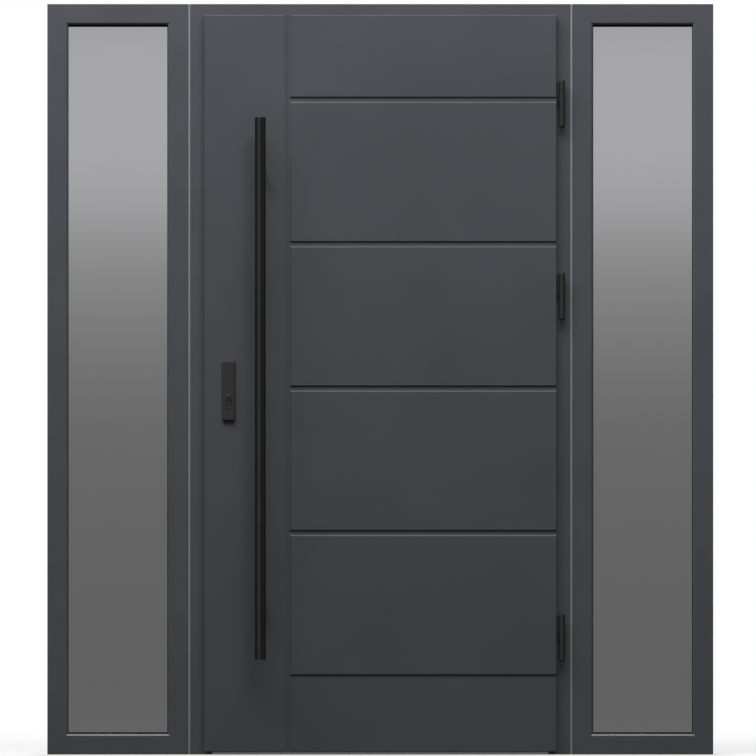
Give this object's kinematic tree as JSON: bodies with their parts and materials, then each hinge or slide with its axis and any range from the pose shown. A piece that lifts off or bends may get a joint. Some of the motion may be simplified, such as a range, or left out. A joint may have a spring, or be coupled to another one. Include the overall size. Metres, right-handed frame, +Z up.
{
  "type": "exterior door with sidelites",
  "caption": "Flush grooved entrance leaf with a long pull bar, hung outward on barrel hinges in a rebated frame between fixed glazed sidelites.",
  "frame": {"origin": "middle of the threshold's underside, at half the frame's depth", "axes": "+Z up, -Y towards the outdoors, +X to the right seen from outdoors"},
  "size_m": [1.846, 0.208, 2.08],
  "materials": {
    "frame_paint": "satin powder coat, anthracite",
    "leaf_paint": "satin powder coat, anthracite",
    "leaf_edge": "satin powder coat, anthracite",
    "sill": "anodised",
    "rubber": "matte black",
    "glass": "grey reflective",
    "spacer": "matte black",
    "joint_strip": "satin",
    "steel": "brushed",
    "black_fittings": "satin black",
    "cylinder": "satin dark grey"
  },
  "bodies": {
    "frame": {"lock_jamb": "frame_paint", "hinge_jamb": "frame_paint", "frame_head": "frame_paint", "threshold": "sill", "frame_seals": "rubber", "strike_plate": "steel", "left_joint_strip": "joint_strip", "right_joint_strip": "joint_strip", "left_sidelite_outer_stile": "frame_paint", "left_sidelite_inner_stile": "frame_paint", "left_sidelite_head_rail": "frame_paint", "left_sidelite_bottom_rail": "frame_paint", "left_sidelite_beads": "frame_paint", "left_sidelite_outer_pane": "glass", "left_sidelite_inner_pane": "glass", "left_sidelite_spacer": "spacer", "left_sidelite_gaskets": "rubber", "right_sidelite_outer_stile": "frame_paint", "right_sidelite_inner_stile": "frame_paint", "right_sidelite_head_rail": "frame_paint", "right_sidelite_bottom_rail": "frame_paint", "right_sidelite_beads": "frame_paint", "right_sidelite_outer_pane": "glass", "right_sidelite_inner_pane": "glass", "right_sidelite_spacer": "spacer", "right_sidelite_gaskets": "rubber", "hinge_top_frame_half": "black_fittings", "hinge_top_pin": "steel", "hinge_middle_frame_half": "black_fittings", "hinge_middle_pin": "steel", "hinge_bottom_frame_half": "black_fittings", "hinge_bottom_pin": "steel"},
    "leaf": {"leaf_outer_panel": "leaf_paint", "leaf_lock_stile": "leaf_edge", "leaf_hinge_stile": "leaf_edge", "leaf_top_rail": "leaf_edge", "leaf_bottom_rail": "leaf_edge", "leaf_inner_panel": "leaf_paint", "lock_faceplate": "steel", "lock_bolts": "steel", "key_cylinder": "cylinder", "outer_escutcheon": "black_fittings", "inner_escutcheon": "black_fittings", "inner_lever": "black_fittings", "pull_bar": "black_fittings", "pull_bar_caps": "black_fittings", "pull_bar_posts": "black_fittings", "hinge_top_leaf_half": "black_fittings", "hinge_middle_leaf_half": "black_fittings", "hinge_bottom_leaf_half": "black_fittings"}
  },
  "joints": [
    {"name": "leaf_swing", "type": "hinge", "parent": "frame", "child": "leaf", "pos_m": [0.504, -0.058, 0], "axis": [0, 0, 1], "range_deg": [0, 170]}
  ]
}
